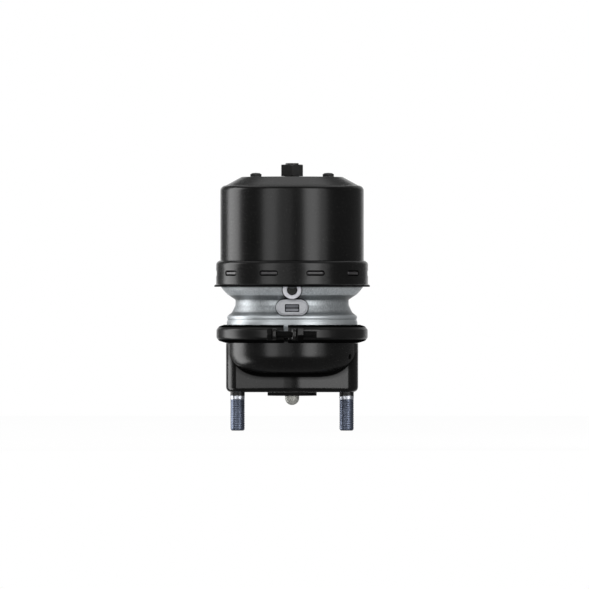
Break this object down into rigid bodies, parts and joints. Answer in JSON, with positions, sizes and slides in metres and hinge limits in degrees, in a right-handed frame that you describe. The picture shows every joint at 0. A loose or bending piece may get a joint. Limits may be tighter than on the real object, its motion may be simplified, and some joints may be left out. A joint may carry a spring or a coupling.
{
  "type": "combination brake cylinder",
  "caption": "Air-operated combination brake cylinder for a disc brake, with a diaphragm service chamber, a spring parking-brake chamber, mounting studs and a release bolt.",
  "frame": {"origin": "centre of the mounting face, on the push rod's axis", "axes": "+Z along the push rod's axis, away from the studs towards the release bolt; X runs through both studs; -Y faces the clamp bolt"},
  "size_m": [0.1722, 0.1853, 0.296],
  "materials": {
    "black_paint": "semi-gloss black stoving paint on steel and cast metal",
    "black_fastener": "black coated steel",
    "cast_aluminium": "die-cast, tumbled satin",
    "zinc_steel": "bluish zinc plate on rolled thread",
    "bright_steel": "ground steel",
    "spring_steel": "dark phosphated spring wire",
    "black_rubber": "matt moulded rubber",
    "dark_polymer": "moulded polymer"
  },
  "bodies": {
    "housing": {"service_housing": "black_paint", "mounting_studs": "zinc_steel", "rod_guide": "dark_polymer", "dust_boot": "black_rubber", "face_seal": "black_rubber", "return_spring": "spring_steel", "diaphragm": "black_rubber", "clamp_band": "black_paint", "clamp_lugs": "black_paint", "clamp_bolt": "black_fastener", "clamp_nut": "black_fastener", "clamp_washer": "black_fastener", "intermediate_flange": "cast_aluminium", "tube_guide_bush": "dark_polymer", "tube_seal": "black_rubber", "tube_wiper": "black_rubber", "housing_seal": "black_rubber", "port_plug": "dark_polymer", "vent_insert": "dark_polymer", "spring_housing": "black_paint", "cover_screws": "black_fastener", "locking_ring": "black_paint", "locking_keys": "black_fastener", "power_spring": "spring_steel", "spring_seat": "dark_polymer", "release_bush": "bright_steel"},
    "pushrod": {"push_rod": "bright_steel", "push_plate": "bright_steel", "plate_hub": "bright_steel"},
    "spring_piston": {"spring_piston": "cast_aluminium", "piston_seal": "black_rubber", "piston_guide_ring": "dark_polymer", "piston_tube": "bright_steel", "tube_end_plug": "bright_steel", "catch_collar": "bright_steel", "collar_circlip": "spring_steel"},
    "release_carrier": {"thrust_race": "bright_steel"},
    "release_bolt": {"release_bolt": "black_fastener", "release_hex": "black_fastener"}
  },
  "joints": [
    {"name": "spring_piston_slide", "type": "slide", "parent": "housing", "child": "spring_piston", "axis": [0, 0, -1], "range_m": [0, 0.057], "deforming": ["power_spring"]},
    {"name": "push_rod_slide", "type": "slide", "parent": "housing", "child": "pushrod", "axis": [0, 0, -1], "range_m": [0, 0.057], "stiffness_N_per_m": 1500, "springref_m": -0.08, "deforming": ["return_spring", "diaphragm", "dust_boot"]},
    {"name": "release_travel", "type": "slide", "parent": "housing", "child": "release_carrier", "axis": [0, 0, 1], "range_m": [0, 0.056]},
    {"name": "release_turn", "type": "hinge", "parent": "release_carrier", "child": "release_bolt", "pos_m": [0, 0, 0.2], "axis": [0, 0, 1], "range_deg": [0, 10080.1]}
  ],
  "couplings": [
    {"joint": "push_rod_slide", "follows": "spring_piston_slide", "ratio": 1},
    {"joint": "release_turn", "follows": "release_travel", "rad_per_m": 3141.6}
  ]
}
